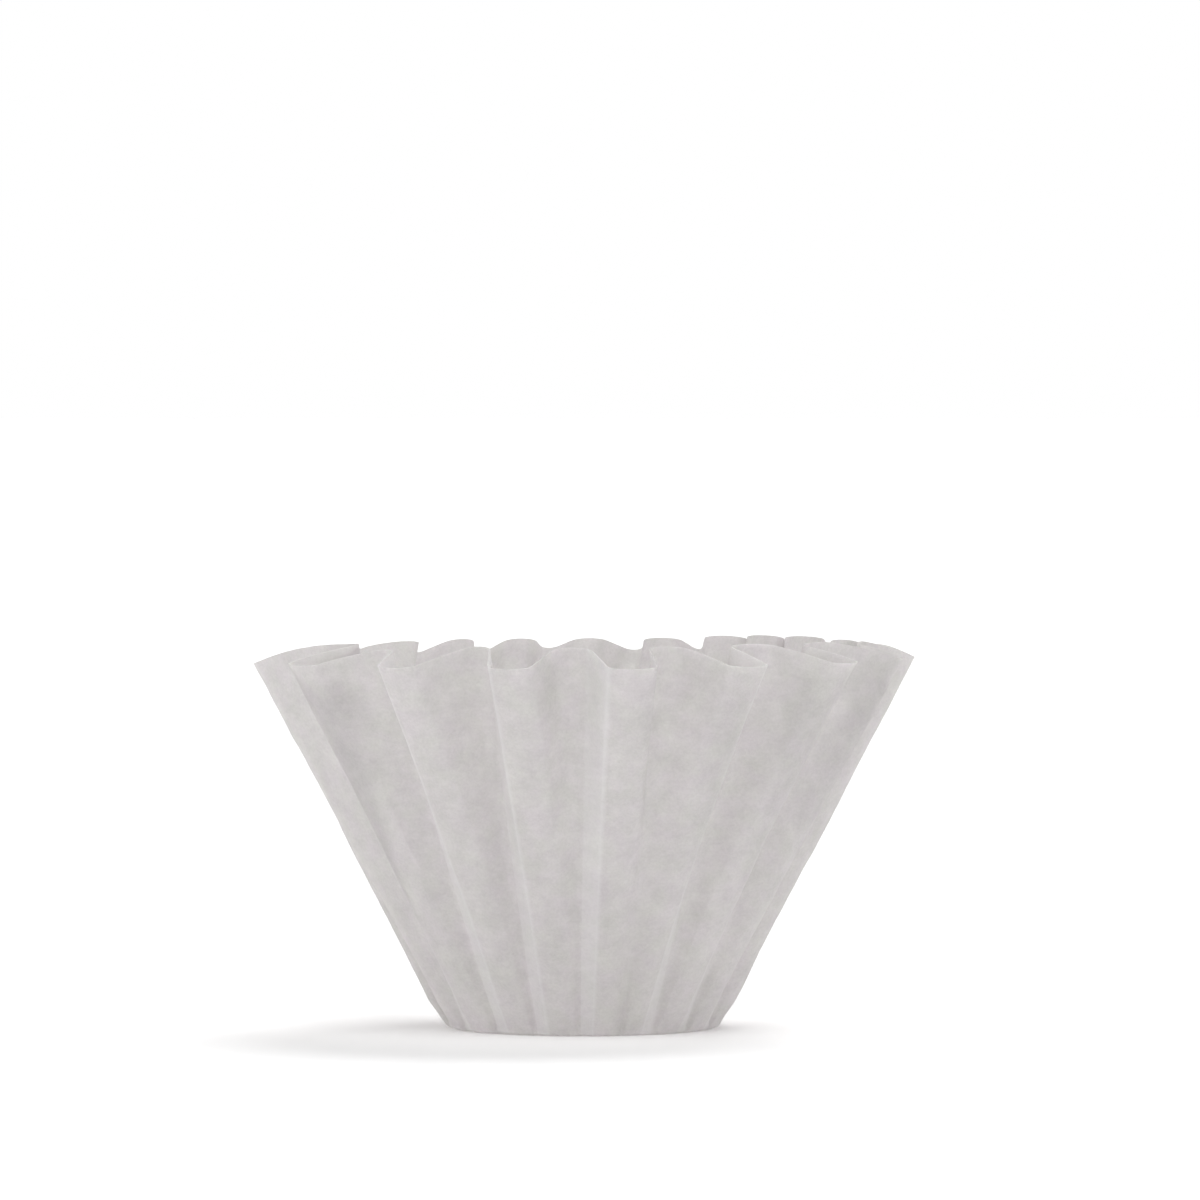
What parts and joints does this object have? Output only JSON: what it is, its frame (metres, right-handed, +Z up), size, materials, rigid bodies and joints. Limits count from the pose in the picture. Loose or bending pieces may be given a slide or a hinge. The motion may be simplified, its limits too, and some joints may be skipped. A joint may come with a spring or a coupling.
{
  "type": "coffee filter",
  "caption": "White paper coffee filter with a flat round floor and a fluted wall that opens towards a wavy rim.",
  "frame": {"origin": "middle of the underside of the flat floor", "axes": "+Z up, from the floor towards the open rim; -Y is the front, where the flutes are opened widest"},
  "size_m": [0.1109, 0.1093, 0.0652],
  "materials": {
    "filter_paper": "matt white filter paper"
  },
  "bodies": {
    "root": {"filter_paper": "filter_paper"}
  },
  "joints": []
}
